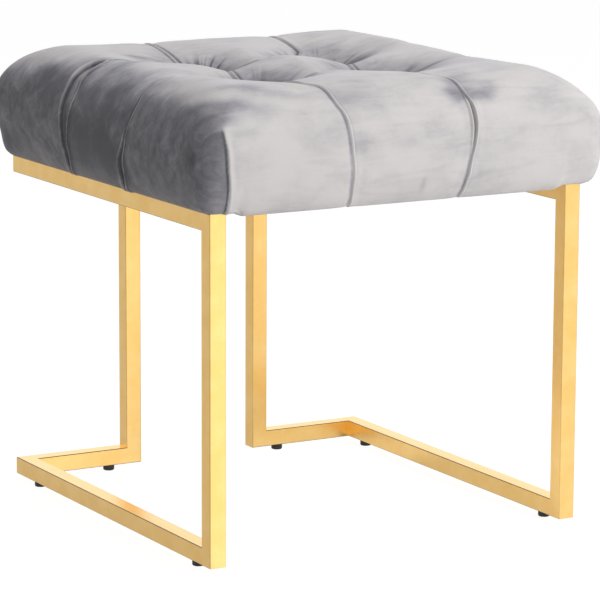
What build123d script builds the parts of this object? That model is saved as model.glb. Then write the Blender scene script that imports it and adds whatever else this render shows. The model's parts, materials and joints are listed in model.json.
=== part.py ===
from build123d import *
import os
from math import cos, radians, sin, sqrt

# Driving dimensions, in millimetres. X is the width, -Y the front, Z = 0 the floor.

# Side frames of square tube
frame_width = 450.0
frame_depth = 476.0
frame_height = 370.0
tube_side = 19.0
tube_wall = 1.2
tube_edge_radius = 1.0
rear_leg_spacing = 148.0

# Feet that screw out of the floor rails to level the stool
foot_height = 7.0
foot_diameter = 13.0
foot_edge_radius = 1.6
foot_gap = 0.3
foot_end_inset = 44.0
foot_inner_inset = 38.0
foot_travel = 8.0
stud_diameter = 6.0
stud_socket_floor = 1.8
stud_engagement = 5.8
stud_tip_chamfer = 0.8
rivet_flange_diameter = 9.6
rivet_flange_thickness = 0.5
rivet_barrel_diameter = 8.6
rivet_length = 9.0
running_clearance = 0.08

# Seat cushion, measured over the cover
seat_thickness = 127.0
seat_swell = 22.0
swell_height = 57.0
crown_reach = 80.0
corner_radius = 27.0
tuft_spacing_x = 150.0
tuft_spacing_y = 134.0
channel_depth = 24.0
channel_reach = 40.0
pleat_radius = 12.0
tuft_depth = 42.0
tuft_mouth_radius = 38.0
cover_lower_angles = (0, 30, 60)
cover_upper_angles = (0, 20, 40, 55, 70, 80, 90)
fill_lower_angles = (0, 45)
fill_upper_angles = (0, 32, 55, 75, 90)
cell_overlap = 1.0
smallest_radius = 0.8
largest_corner_share = 0.45

# Layers of the seat
cover_thickness = 1.6
hem_width = 30.0
soft_gap = 0.4
board_thickness = 15.0
board_setback = 4.0
hem_corner_radius = 14.0
dust_cover_thickness = 0.8
dust_cover_gap = 1.0

# Tuft buttons with their cords and anchors
button_diameter = 20.0
button_edge = 3.0
button_dome = 4.0
cord_diameter = 2.5
cord_clearance = 0.6
anchor_diameter = 18.0
anchor_thickness = 1.6
knot_diameter = 7.0
knot_height = 3.5

# Wood screws inside the seat rails, up through the upper wall into the board
screw_diameter = 4.0
screw_length = 16.0
screw_tip = 5.0
screw_tip_diameter = 1.0
screw_hole_clearance = 0.8
screw_access_clearance = 1.0
screw_end_inset = 80.0
screw_head_diameter = 8.4
screw_head_height = 2.8
screw_head_chamfer = 0.9
cross_slot_width = 1.1
cross_slot_length = 4.6
cross_slot_depth = 1.4
washer_diameter = 12.0
washer_thickness = 1.0

# Heights and lines that follow from them
rail_underside = foot_height
seat_base = foot_height + frame_height
seat_top = seat_base + seat_thickness
swell_level = seat_base + swell_height
board_bottom = seat_base + cover_thickness
board_top = board_bottom + board_thickness
tuft_floor = seat_top - tuft_depth
outer_x = (frame_width - tube_side) / 2
outer_y = (frame_depth - tube_side) / 2
inner_x = (rear_leg_spacing + tube_side) / 2
floor_level = rail_underside + tube_side / 2
seat_rail_level = seat_base - tube_side / 2
seat_rail_underside = seat_base - tube_side
half_width = frame_width / 2 + seat_swell
half_depth = frame_depth / 2 + seat_swell
tuft_x = tuft_spacing_x / 2
tuft_y = tuft_spacing_y / 2
tuft_points = [(x, y) for x in (-tuft_x, tuft_x) for y in (-tuft_y, tuft_y)]
cord_hole_radius = (cord_diameter + cord_clearance) / 2
screw_hole_radius = (screw_diameter + screw_hole_clearance) / 2
screw_access_radius = washer_diameter / 2 + screw_access_clearance
screw_washer_top = seat_base - tube_wall
foot_y = frame_depth / 2 - foot_end_inset
foot_x = rear_leg_spacing / 2 + foot_inner_inset
screw_y = frame_depth / 2 - screw_end_inset
rear_screw_x = (outer_x + inner_x) / 2
board_corner_radius = corner_radius - board_setback
board_x = frame_width - 2 * board_setback
board_y = frame_depth - 2 * board_setback
hem_opening_x = frame_width - 2 * hem_width
hem_opening_y = frame_depth - 2 * hem_width
sides = {"left": -1, "right": 1}


def disc(x, y, low, high, radius):
    """Upright round bar between two heights."""
    return Pos(x, y, (low + high) / 2) * Cylinder(radius, high - low)


def block(size_x, size_y, low, high, edge_radius):
    """Upright slab centred on the Z axis, with rounded corners."""
    outline = Pos(0, 0, low) * RectangleRounded(size_x, size_y, edge_radius)
    return extrude(outline, high - low)


def save(name, *shapes):
    """One node: a single solid, or a group of separate solids."""
    solids = [solid for shape in shapes for solid in shape.solids()]
    node = solids[0] if len(solids) == 1 else Compound(solids)
    export_step(node, f"parts/{name}.step")


# Places along the frame
def foot_points(side):
    """Centres of one side frame's three feet."""
    return {
        "front": (side * outer_x, -foot_y),
        "rear": (side * outer_x, foot_y),
        "inner": (side * foot_x, outer_y),
    }


def rail_screw_points(side):
    """Centres of the screws along one seat rail."""
    return [(side * outer_x, y) for y in (-screw_y, 0, screw_y)]


def rear_screw_point(side):
    """Centre of the screw in one rear seat rail."""
    return (side * rear_screw_x, outer_y)


all_feet = [point for side in sides.values() for point in foot_points(side).values()]
all_screws = []
for side in sides.values():
    all_screws += rail_screw_points(side) + [rear_screw_point(side)]


# Side frames
def mitred_tube(before, start, end, after):
    """Square tube from start to end, cut at both ends on the mitre with the tubes next to it."""
    before, start, end, after = (Vector(*point) for point in (before, start, end, after))
    along = (end - start).normalized()
    across = Vector(1, 0, 0) if abs(along.X) < 0.5 else Vector(0, 1, 0)
    section = RectangleRounded(tube_side, tube_side, tube_edge_radius)
    section -= Rectangle(tube_side - 2 * tube_wall, tube_side - 2 * tube_wall)
    first = Plane(start - along * tube_side, x_dir=across, z_dir=along)
    tube = extrude(first * section, (end - start).length + 2 * tube_side)
    start_cut = Plane(start, z_dir=(start - before).normalized() + along)
    end_cut = Plane(end, z_dir=along + (after - end).normalized())
    tube = split(tube, bisect_by=start_cut, keep=Keep.TOP)
    return split(tube, bisect_by=end_cut, keep=Keep.BOTTOM)


def side_frame(side):
    """Six tubes that run in one closed loop: down, back, in, up, out and forward."""
    corners = [
        (side * outer_x, -outer_y, seat_rail_level),
        (side * outer_x, -outer_y, floor_level),
        (side * outer_x, outer_y, floor_level),
        (side * inner_x, outer_y, floor_level),
        (side * inner_x, outer_y, seat_rail_level),
        (side * outer_x, outer_y, seat_rail_level),
    ]
    names = ["front_leg", "floor_rail", "rear_floor_rail", "rear_leg", "rear_seat_rail", "seat_rail"]
    count = len(corners)
    tubes = {}
    for i, name in enumerate(names):
        loop = [corners[(i + step) % count] for step in (-1, 0, 1, 2)]
        tubes[name] = mitred_tube(*loop)

    feet = foot_points(side)
    hole_radius = rivet_barrel_diameter / 2 + running_clearance
    holes = {place: disc(x, y, rail_underside, floor_level, hole_radius) for place, (x, y) in feet.items()}
    tubes["floor_rail"] -= [holes["front"], holes["rear"]]
    tubes["rear_floor_rail"] -= holes["inner"]
    tubes["seat_rail"] -= [rail_screw_hole(x, y) for x, y in rail_screw_points(side)]
    tubes["rear_seat_rail"] -= rail_screw_hole(*rear_screw_point(side))
    return tubes


def rail_screw_hole(x, y):
    """Clearance hole in a seat rail's upper wall, over a wide hole in its lower wall for head and driver."""
    access = disc(x, y, seat_rail_underside, seat_rail_level, screw_access_radius)
    return access + disc(x, y, seat_rail_level, seat_base, screw_hole_radius)


# Feet
def foot_pad(x, y):
    """Round foot with a rolled rim, a socket for its stud and a recess for the rivet nut's flange."""
    radius = foot_diameter / 2
    height = foot_height - foot_gap
    roll = foot_edge_radius
    with BuildPart() as pad:
        with BuildSketch(Plane.XZ):
            with BuildLine():
                Polyline((0, 0), (radius - roll, 0))
                JernArc((radius - roll, 0), (1, 0), roll, 90)
                Polyline((radius, roll), (radius, height), (0, height), (0, 0))
            make_face()
        revolve(axis=Axis.Z)
    flange_radius = rivet_flange_diameter / 2 + foot_gap
    recess = disc(0, 0, height - rivet_flange_thickness, height, flange_radius)
    socket = disc(0, 0, stud_socket_floor, height, stud_diameter / 2 + running_clearance)
    return Pos(x, y, 0) * (pad.part - recess - socket)


def foot_stud(x, y):
    """Plain stud with a chamfered tip, long enough to stay in its nut when the foot is right out."""
    top = rail_underside + foot_travel + stud_engagement
    stud = disc(x, y, stud_socket_floor, top, stud_diameter / 2)
    return chamfer(stud.edges().sort_by(Axis.Z)[-1], stud_tip_chamfer)


def rivet_nut(x, y):
    """Thin flange under the rail's wall, with a barrel that grips inside it."""
    flange_low = rail_underside - rivet_flange_thickness
    nut = disc(x, y, flange_low, rail_underside, rivet_flange_diameter / 2)
    nut += disc(x, y, rail_underside, flange_low + rivet_length, rivet_barrel_diameter / 2)
    return nut - disc(x, y, flange_low, flange_low + rivet_length, stud_diameter / 2 + running_clearance)


# Cushion: nine pillows between the pleats, joined into one pad
def cell_outline(level, x_pair, y_pair, radii):
    """Rectangle of four lines and four arcs at one height, each corner with its own radius."""
    limit = largest_corner_share * min(x_pair[1] - x_pair[0], y_pair[1] - y_pair[0])
    corners = [(0, 0, 180), (1, 0, 270), (1, 1, 0), (0, 1, 90)]
    arcs = []
    for (i, j, start), radius in zip(corners, radii):
        radius = min(radius, limit)
        centre_x = x_pair[i] + (radius if i == 0 else -radius)
        centre_y = y_pair[j] + (radius if j == 0 else -radius)
        arcs.append(CenterArc((centre_x, centre_y, level), radius, start, 90))
    edges = []
    for arc, following in zip(arcs, arcs[1:] + arcs[:1]):
        edges += [arc, Line(arc @ 1, following @ 0)]
    return Wire([edge.edge() for edge in edges])


def cushion_rings(inset, lower_angles, upper_angles):
    """Heights of the pad with its side's set-in, its channel's half width and its pleat's radius.

    The side swells from the rail in a quarter ellipse and rolls over to the crown in another.
    """
    low = seat_base + inset
    high = seat_top - inset
    rings = []
    for turn in map(radians, lower_angles):
        rings.append((low + (swell_level - low) * (1 - cos(turn)), seat_swell * (1 - sin(turn))))
    for turn in map(radians, upper_angles):
        rings.append((swell_level + (high - swell_level) * sin(turn), crown_reach * (1 - cos(turn))))

    full = []
    for level, side in rings:
        rise = (level - (high - channel_depth)) / channel_depth
        channel = -cell_overlap
        if rise > 0:
            channel = inset + channel_reach * (1 - sqrt(max(0, 1 - rise * rise)))
        swell = min(1, (level - low) / (swell_level - low))
        pleat = smallest_radius + cell_overlap + (pleat_radius - cell_overlap) * swell
        full.append((level, side + inset, channel, pleat))
    return full


def cushion_cell(column, row, rings):
    """One pillow, lofted through its outlines from the seat's underside to its crown."""
    outlines = []
    for level, side, channel, pleat in rings:
        x_lines = [-half_width + side, -tuft_x, tuft_x, half_width - side]
        y_lines = [-half_depth + side, -tuft_y, tuft_y, half_depth - side]
        x_pair = [x_lines[column], x_lines[column + 1]]
        y_pair = [y_lines[row], y_lines[row + 1]]
        inside_x = [column > 0, column < 2]
        inside_y = [row > 0, row < 2]
        for k, sign in enumerate((1, -1)):
            x_pair[k] += sign * channel * inside_x[k]
            y_pair[k] += sign * channel * inside_y[k]
        radii = []
        for i, j in ((0, 0), (1, 0), (1, 1), (0, 1)):
            if inside_x[i] and inside_y[j]:
                radii.append(smallest_radius + max(0, channel))
            elif inside_x[i] or inside_y[j]:
                radii.append(pleat)
            else:
                radii.append(corner_radius)
        outlines.append(cell_outline(level, x_pair, y_pair, radii))
    return Solid.make_loft(outlines, ruled=True)


def cushion(inset, lower_angles, upper_angles):
    """The whole pad, set in from the cover's outside, with its four tufts drawn down."""
    rings = cushion_rings(inset, lower_angles, upper_angles)
    cells = [cushion_cell(column, row, rings) for column in range(3) for row in range(3)]
    slope = (tuft_mouth_radius - button_diameter / 2) / tuft_depth
    depth = tuft_depth + inset
    floor_radius = button_diameter / 2 + inset
    well = Cone(floor_radius, floor_radius + slope * depth, depth)
    wells = [Pos(x, y, tuft_floor - inset + depth / 2) * well for x, y in tuft_points]
    return cells[0].fuse(*cells[1:]) - wells


def cord_hole(x, y):
    """Hole for a tuft's cord, from the board's underside to the tuft."""
    return disc(x, y, board_bottom, tuft_floor, cord_hole_radius)


def seat_board():
    """Plywood board with pilot holes for the screws and pockets for the cords' anchors."""
    board = block(board_x, board_y, board_bottom, board_top, board_corner_radius)
    pilot_radius = screw_diameter / 2 + running_clearance
    pocket_top = board_bottom + knot_height + anchor_thickness
    pocket_radius = anchor_diameter / 2 + running_clearance
    cuts = [disc(x, y, board_bottom, board_top, pilot_radius) for x, y in all_screws]
    cuts += [disc(x, y, board_bottom, pocket_top, pocket_radius) for x, y in tuft_points]
    cuts += [cord_hole(x, y) for x, y in tuft_points]
    return board - cuts


def foam_pad():
    """Foam that fills the cover and wraps down over the board's edge."""
    foam = cushion(cover_thickness + soft_gap, fill_lower_angles, fill_upper_angles)
    board_space = block(
        board_x + 2 * soft_gap, board_y + 2 * soft_gap, seat_base, board_top, board_corner_radius + soft_gap
    )
    return foam - [board_space] - [cord_hole(x, y) for x, y in tuft_points]


def seat_cover():
    """Velvet skin over the pad, turned under the board in a hem that the rails hold."""
    outside = cushion(0, cover_lower_angles, cover_upper_angles)
    inside = cushion(cover_thickness, fill_lower_angles, fill_upper_angles)
    opening = block(hem_opening_x, hem_opening_y, seat_base, board_bottom, hem_corner_radius)
    holes = [disc(x, y, seat_base, board_bottom, screw_hole_radius) for x, y in all_screws]
    holes += [cord_hole(x, y) for x, y in tuft_points]
    return outside - [inside, opening] - holes


def dust_cover():
    """Thin cloth that closes the opening inside the hem."""
    size_x = hem_opening_x - 2 * dust_cover_gap
    size_y = hem_opening_y - 2 * dust_cover_gap
    low = board_bottom - dust_cover_thickness
    return block(size_x, size_y, low, board_bottom, hem_corner_radius - dust_cover_gap)


# Tufting
def tuft_button(x, y):
    """Covered button: a short straight edge under a shallow dome."""
    radius = button_diameter / 2 - soft_gap
    with BuildPart() as button:
        with BuildSketch(Plane.XZ):
            with BuildLine():
                Polyline((0, button_edge + button_dome), (0, 0), (radius, 0), (radius, button_edge))
                RadiusArc(
                    (radius, button_edge),
                    (0, button_edge + button_dome),
                    -(radius * radius + button_dome * button_dome) / (2 * button_dome),
                )
            make_face()
        revolve(axis=Axis.Z)
    return Pos(x, y, tuft_floor) * button.part


def tuft_cord(x, y):
    """Straight twine from the button down through foam and board, knotted under its anchor."""
    twine = disc(x, y, board_bottom + knot_height, tuft_floor, cord_diameter / 2)
    return twine + disc(x, y, board_bottom, board_bottom + knot_height, knot_diameter / 2)


def anchor_washer(x, y):
    """Washer in the board's pocket that the knotted cord pulls against."""
    low = board_bottom + knot_height
    washer = disc(x, y, low, low + anchor_thickness, anchor_diameter / 2)
    return washer - disc(x, y, low, low + anchor_thickness, cord_diameter / 2 + running_clearance)


# Seat screws
def seat_screw(x, y):
    """Pan-head wood screw with a cross recess, up through the rail's upper wall into the board."""
    head_top = screw_washer_top - washer_thickness
    head_low = head_top - screw_head_height
    shank_top = head_top + screw_length - screw_tip
    head = disc(x, y, head_low, head_top, screw_head_diameter / 2)
    head = chamfer(head.edges().sort_by(Axis.Z)[0], screw_head_chamfer)
    shank = disc(x, y, head_top, shank_top, screw_diameter / 2)
    tip = Pos(x, y, shank_top + screw_tip / 2) * Cone(screw_diameter / 2, screw_tip_diameter / 2, screw_tip)
    slot = Box(cross_slot_length, cross_slot_width, 2 * cross_slot_depth)
    recess = [Pos(x, y, head_low) * Rot(0, 0, turn) * slot for turn in (0, 90)]
    return head + [shank, tip] - recess


def screw_washer(x, y):
    """Flat washer between a screw's head and the rail's upper wall."""
    low = screw_washer_top - washer_thickness
    washer = disc(x, y, low, screw_washer_top, washer_diameter / 2)
    return washer - disc(x, y, low, screw_washer_top, screw_hole_radius)


os.makedirs("parts", exist_ok=True)

for side_name, side in sides.items():
    for tube_name, tube in side_frame(side).items():
        save(f"{side_name}_{tube_name}", tube)
    for place, (x, y) in foot_points(side).items():
        save(f"{side_name}_{place}_foot_pad", foot_pad(x, y))
        save(f"{side_name}_{place}_foot_stud", foot_stud(x, y))

save("rivet_nuts", *[rivet_nut(x, y) for x, y in all_feet])
save("seat_screws", *[seat_screw(x, y) for x, y in all_screws])
save("screw_washers", *[screw_washer(x, y) for x, y in all_screws])
save("seat_board", seat_board())
save("foam_pad", foam_pad())
save("seat_cover", seat_cover())
save("dust_cover", dust_cover())
save("tuft_buttons", *[tuft_button(x, y) for x, y in tuft_points])
save("tuft_cords", *[tuft_cord(x, y) for x, y in tuft_points])
save("anchor_washers", *[anchor_washer(x, y) for x, y in tuft_points])
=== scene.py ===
import json
import math

import bmesh
import bpy
import numpy as np
from mathutils import Matrix, Vector


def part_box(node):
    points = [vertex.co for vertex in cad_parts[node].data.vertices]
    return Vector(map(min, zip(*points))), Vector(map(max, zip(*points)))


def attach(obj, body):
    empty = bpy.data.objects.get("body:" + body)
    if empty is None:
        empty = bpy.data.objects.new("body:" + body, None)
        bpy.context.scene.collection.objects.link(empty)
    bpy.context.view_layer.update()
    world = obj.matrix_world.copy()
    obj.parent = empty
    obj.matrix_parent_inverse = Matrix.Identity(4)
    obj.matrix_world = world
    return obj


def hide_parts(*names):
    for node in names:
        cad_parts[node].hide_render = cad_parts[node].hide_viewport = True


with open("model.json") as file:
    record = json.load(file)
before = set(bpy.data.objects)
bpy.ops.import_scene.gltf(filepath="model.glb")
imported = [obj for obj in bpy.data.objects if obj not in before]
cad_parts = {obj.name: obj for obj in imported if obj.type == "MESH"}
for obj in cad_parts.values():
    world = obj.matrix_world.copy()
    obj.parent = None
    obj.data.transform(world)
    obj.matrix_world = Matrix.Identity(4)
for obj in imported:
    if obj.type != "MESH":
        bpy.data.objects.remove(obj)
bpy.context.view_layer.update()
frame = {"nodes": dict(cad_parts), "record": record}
scene = bpy.context.scene


# Shader maths

def operator(operation, swapped=False):
    # A method that adds one Math node, swapped where the signal stands on the right
    def apply(self, other):
        values = (other, self) if swapped else (self, other)
        return self.paint.node("ShaderNodeMath", {"operation": operation}, values)

    return apply


class Signal:
    # One output socket of a material; an operator on it adds a Math node
    def __init__(self, paint, socket):
        self.paint = paint
        self.socket = socket

    __add__ = operator("ADD")
    __radd__ = operator("ADD", True)
    __sub__ = operator("SUBTRACT")
    __rsub__ = operator("SUBTRACT", True)
    __mul__ = operator("MULTIPLY")
    __rmul__ = operator("MULTIPLY", True)
    __pow__ = operator("POWER")
    atLeast = operator("MAXIMUM")

    def between(self, low, high):
        # 0 up to low, 1 from high, smooth on the way
        settings = {"interpolation_type": "SMOOTHSTEP"}
        values = {"Value": self, "From Min": low, "From Max": high}
        return self.paint.node("ShaderNodeMapRange", settings, values)


class Paint:
    # A material or world under construction
    def __init__(self, name, owner=None):
        self.owner = owner or bpy.data.materials.new(name)
        self.owner.use_nodes = True
        self.tree = self.owner.node_tree
        self.tree.nodes.clear()

    def node(self, kind, settings=None, values=(), output=0):
        # Settings first, then the values or links of the sockets, by name or by number
        made = self.tree.nodes.new(kind)
        for key, value in (settings or {}).items():
            setattr(made, key, value)
        pairs = values.items() if isinstance(values, dict) else enumerate(values)
        for key, value in pairs:
            if isinstance(value, Signal):
                self.tree.links.new(value.socket, made.inputs[key])
            else:
                made.inputs[key].default_value = value
        return Signal(self, made.outputs[output]) if made.outputs else None

    def place(self, scale=(1, 1, 1), turn=(0, 0, 0)):
        # Object coordinates, stretched and turned
        where = self.node("ShaderNodeTexCoord", output="Object")
        values = {"Vector": where, "Scale": scale, "Rotation": turn}
        return self.node("ShaderNodeMapping", None, values)

    def axis(self, name, kind="Object"):
        # One of the object coordinates, or of the surface's normal
        where = self.node("ShaderNodeTexCoord", output=kind)
        return self.node("ShaderNodeSeparateXYZ", None, [where], output=name)

    def noise(self, where, scale, detail=3.0, roughness=0.5, distortion=0.0):
        # Fractal noise, about 0 to 1
        values = {"Vector": where, "Scale": scale, "Detail": detail}
        values.update({"Roughness": roughness, "Distortion": distortion})
        return self.node("ShaderNodeTexNoise", None, values)

    def blend(self, amount, first, second):
        # A colour between two colours
        shades = {0: amount}
        for key, shade in ((6, first), (7, second)):
            shades[key] = shade if isinstance(shade, Signal) else (*shade, 1)
        return self.node("ShaderNodeMix", {"data_type": "RGBA"}, shades, output=2)

    def bump(self, height, distance, strength):
        # A normal that leans with the slope of the height
        values = {"Height": height, "Distance": distance, "Strength": strength}
        return self.node("ShaderNodeBump", None, values)

    def finish(self, **sockets):
        # The surface shader, with constants set on its own sockets
        values = {name.replace("_", " "): value for name, value in sockets.items()}
        shader = self.node("ShaderNodeBsdfPrincipled", None, values)
        self.node("ShaderNodeOutputMaterial", None, {"Surface": shader})
        return self.owner


# Meshes

def gridFaces(rows, columns, closed=False):
    # Quads between neighbouring rows and columns; a closed grid joins its last column to its first
    r = np.arange(rows - 1)[:, None]
    c = np.arange(columns if closed else columns - 1)[None, :]
    following = (c + 1) % columns
    near, far = r * columns, (r + 1) * columns
    corners = (near + c, far + c, far + following, near + following)
    return np.stack(np.broadcast_arrays(*corners), axis=-1).reshape(-1, 4)


def addMesh(name, points, faces):
    # An object with a mesh from whole arrays
    mesh = bpy.data.meshes.new(name)
    mesh.from_pydata(np.reshape(points, (-1, 3)).tolist(), [], np.asarray(faces).tolist())
    thing = bpy.data.objects.new(name, mesh)
    scene.collection.objects.link(thing)
    return thing


def manyOf(grids, faces):
    # Equal grids as one mesh, with the faces counted on
    size = grids[0].size // 3
    return np.stack(grids), np.concatenate([faces + number * size for number in range(len(grids))])


def makePiece(name, points, faces, material, slot, body="stool", weld=0):
    # A smooth-shaded piece on a body; weld merges poles and seams and turns the faces outwards
    piece = addMesh(name, points, faces)
    mesh = piece.data
    if weld:
        work = bmesh.new()
        work.from_mesh(mesh)
        bmesh.ops.remove_doubles(work, verts=work.verts, dist=weld)
        bmesh.ops.recalc_face_normals(work, faces=work.faces)
        work.to_mesh(mesh)
        work.free()
    mesh.polygons.foreach_set("use_smooth", np.ones(len(mesh.polygons), bool))
    mesh.materials.append(material)
    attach(piece, body)
    return piece


def fullTurn(count):
    # Equal steps of one turn, as a row
    return np.linspace(0, 2 * np.pi, count, endpoint=False)[None, :]


def turnedShape(reach, height, turn):
    # Points round the upright axis, by distance, height and turn
    return np.stack([reach * np.cos(turn), reach * np.sin(turn), height + 0 * turn], axis=-1)


def waves(points, length, count, rng):
    # Smooth unevenness from -1 to 1 or so: cosines along random directions, each about one length long
    heading = rng.normal(size=(count, 3))
    heading /= np.linalg.norm(heading, axis=1, keepdims=True)
    pace = 2 * np.pi / length * rng.uniform(0.7, 1.4, count)
    start = rng.uniform(0, 2 * np.pi, count)
    total = np.zeros(points.shape[:-1])
    for way, rate, phase in zip(heading, pace, start):
        total += np.cos(points @ (way * rate) + phase)
    return total * math.sqrt(2 / count)


def bell(distance, width):
    # 1 at no distance, falling away over the width
    return np.exp(-((distance / width) ** 2))


def ease(value, low, high):
    # 0 up to low, 1 from high, smooth on the way
    t = np.clip((value - low) / (high - low), 0, 1)
    return t * t * (3 - 2 * t)


# Camera, as it stood for the photograph
photoCamera = {
    "place": (-1.7711, -3.1634, 0.918),  # metres, from the middle of the footprint
    "yaw": 29.44,  # degrees right of straight back
    "pitch": 10.751,  # degrees down
    "roll": 0.252,
    "lens": 199.26,  # millimetres
    "sensor": 36,  # millimetres, square
    "reach": 50,  # metres
}


def setCamera():
    # Right, up and back axes from the three angles
    yaw, pitch, roll = (math.radians(photoCamera[k]) for k in ("yaw", "pitch", "roll"))
    ahead = Vector((math.sin(yaw) * math.cos(pitch), math.cos(yaw) * math.cos(pitch), -math.sin(pitch)))
    level = Vector((math.cos(yaw), -math.sin(yaw), 0))
    upright = level.cross(ahead)
    right = math.cos(roll) * level + math.sin(roll) * upright
    up = math.cos(roll) * upright - math.sin(roll) * level
    camera = bpy.data.objects.new("photoCamera", bpy.data.cameras.new("photoCamera"))
    camera.data.lens = photoCamera["lens"]
    camera.data.sensor_width = photoCamera["sensor"]
    camera.data.clip_end = photoCamera["reach"]
    turn = Matrix((right, up, -ahead)).transposed().to_4x4()
    camera.matrix_world = Matrix.Translation(photoCamera["place"]) @ turn
    scene.collection.objects.link(camera)
    scene.camera = camera


setCamera()


# Finishes

goldLook = {
    "pale": (0.99, 0.675, 0.26),
    "deep": (0.95, 0.605, 0.20),
    "edge": (0.045, 0.025, 0.008),  # dark brown along the rounded edges
    "roughness": (0.23, 0.36),
    "lines": (3, 260),  # polishing lines, along the tube and across it
    "clouds": 34.0,  # per metre
    "wear": 160.0,
    "relief": 0.0006,
    "rounding": (0.005, 0.10),  # how far from flat the dark brown starts and is full
    "upright": 0.25,  # its share on upright edges
}


def goldFinish(axis):
    # Plated tube: polishing lines along its axis, faint clouds, slight waviness and dark brown, unmetallic
    # rounded edges, most on level ones. The sum of the normal's fourth powers is 1 on a flat face and less
    # on a rounded edge.
    paint = Paint(f"goldAlong{axis}")
    slow, close = goldLook["lines"]
    lines = paint.noise(paint.place(tuple(slow if name == axis else close for name in "XYZ")), 1.0, 2.0)
    clouds = paint.noise(paint.place(), goldLook["clouds"], 4.0, 0.6)
    wear = paint.noise(paint.place(), goldLook["wear"], 2.0)
    low, high = goldLook["roughness"]
    rough = low + (high - low) * (0.55 * lines + 0.45 * clouds)
    height = 0.3 * clouds + 0.16 * lines + 0.08 * wear
    x, y, z = (paint.axis(name, "Normal") for name in "XYZ")
    level = goldLook["upright"] + (1 - goldLook["upright"]) * (z * z).between(0.0, 0.3)
    rounded = (1 - (x ** 4 + y ** 4 + z ** 4)).between(*goldLook["rounding"]) * level
    face = paint.blend(clouds.between(0.3, 0.75), goldLook["deep"], goldLook["pale"])
    return paint.finish(
        Base_Color=paint.blend(rounded, face, goldLook["edge"]),
        Metallic=1 - rounded,
        Roughness=rough,
        Normal=paint.bump(height, goldLook["relief"], 0.5),
    )


tuft = {
    "buttonRadius": 0.0096,
    "depth": 0.041,  # pulled down below the crown
    "spread": 0.044,
    "gather": 0.0022,  # height of the folds round a tuft
    "gatherReach": 0.024,
    "gathers": (7, 10, 13),  # folds per turn
}
buttonLow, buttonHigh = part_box("tuft_buttons")
tuftX = buttonHigh.x - tuft["buttonRadius"]
tuftY = buttonHigh.y - tuft["buttonRadius"]
tuftPoints = [(x, y) for x in (-tuftX, tuftX) for y in (-tuftY, tuftY)]
velvetLook = {
    "light": (0.61, 0.585, 0.58),
    "middle": (0.358, 0.347, 0.376),
    "dark": (0.118, 0.118, 0.130),
    "fibre": 1500.0,  # pile tips per metre
    "spokes": 8.0,  # closeness of the tucks round a tuft
    "gathered": (0.012, 0.034, 0.080),  # from a tuft: where they start, are strongest and end
}


def tuftGathers(paint):
    # Small tucks that run out from the tufts like spokes, 0 to 1: noise by direction from the nearest one;
    # the velvet is bumped in them and painted darker as shade
    x, y = ((paint.axis(name) ** 2) ** 0.5 - middle for name, middle in (("X", tuftX), ("Y", tuftY)))
    away = (x * x + y * y) ** 0.5
    spokes = paint.node("ShaderNodeCombineXYZ", None, [x, y, 0.0])
    spokes = paint.node("ShaderNodeVectorMath", {"operation": "NORMALIZE"}, [spokes])
    tucks = paint.noise(spokes, velvetLook["spokes"], 2.0).between(0.48, 0.62)
    tucks = tucks * paint.noise(paint.place(), 18.0, 1.0).between(0.40, 0.60)
    near, full, far = velvetLook["gathered"]
    return tucks * away.between(near, full) * (1 - away.between(full, far))


def velvetFinish(name, shadePainted):
    # Short pile: the attribute from the cover says how light it is, partly from the way the pile lies and
    # partly painted shade and highlights;
    # streaks and fibres break it up, tucks round the tufts are painted darker as shade in them, and its
    # colour goes from dark over a middle tone to light
    paint = Paint(name)
    streaks = paint.noise(paint.place((16, 70, 70), (0.3, 0.2, 0.25)), 1.0, 4.0, 0.6, 0.8)
    fibres = paint.noise(paint.place(), velvetLook["fibre"], 2.0, 0.6)
    mottle = paint.noise(paint.place(), 90.0, 3.0, 0.6)
    shadedPile, gathers = 0.4, 0.0
    if shadePainted:
        shadedPile = paint.node("ShaderNodeAttribute", {"attribute_name": "pileAndShade"}, output="Fac")
        gathers = tuftGathers(paint)
    uneven = 0.5 * (streaks - 0.5) + 0.22 * (mottle - 0.5) + 0.25 * (fibres - 0.5)
    # Darker in the tucks round the tufts: painted shade in them
    share = (shadedPile + uneven - 0.38 * gathers).between(0.0, 1.0)
    pile = paint.blend(2 * share, velvetLook["dark"], velvetLook["middle"])
    return paint.finish(
        Base_Color=paint.blend(2 * share - 1, pile, velvetLook["light"]),
        Roughness=0.85 + 0.15 * fibres,
        Specular_IOR_Level=0.2,
        Sheen_Weight=0.5,
        Sheen_Roughness=0.35,
        Sheen_Tint=(0.92, 0.93, 1.0, 1),
        Normal=paint.bump(fibres + 0.8 * mottle - 2.2 * gathers, 0.0004, 0.5),
    )


def plasticFinish():
    # Black moulded plastic with a fine grain and a little dust
    paint = Paint("footPlastic")
    grain = paint.noise(paint.place(), 2600.0, 2.0)
    dust = paint.noise(paint.place(), 220.0, 3.0)
    return paint.finish(
        Base_Color=paint.blend(dust.between(0.45, 0.8), (0.012, 0.012, 0.013), (0.035, 0.034, 0.033)),
        Roughness=0.42 + 0.25 * grain,
        Normal=paint.bump(grain, 0.0002, 0.5),
    )


def zincFinish():
    # Zinc-plated steel: spangled, a little blue and yellow
    paint = Paint("zincSteel")
    spangle = paint.noise(paint.place(), 420.0, 3.0, 0.6)
    return paint.finish(
        Base_Color=paint.blend(spangle, (0.58, 0.60, 0.63), (0.70, 0.68, 0.62)),
        Metallic=1.0,
        Roughness=0.28 + 0.2 * spangle,
    )


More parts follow.
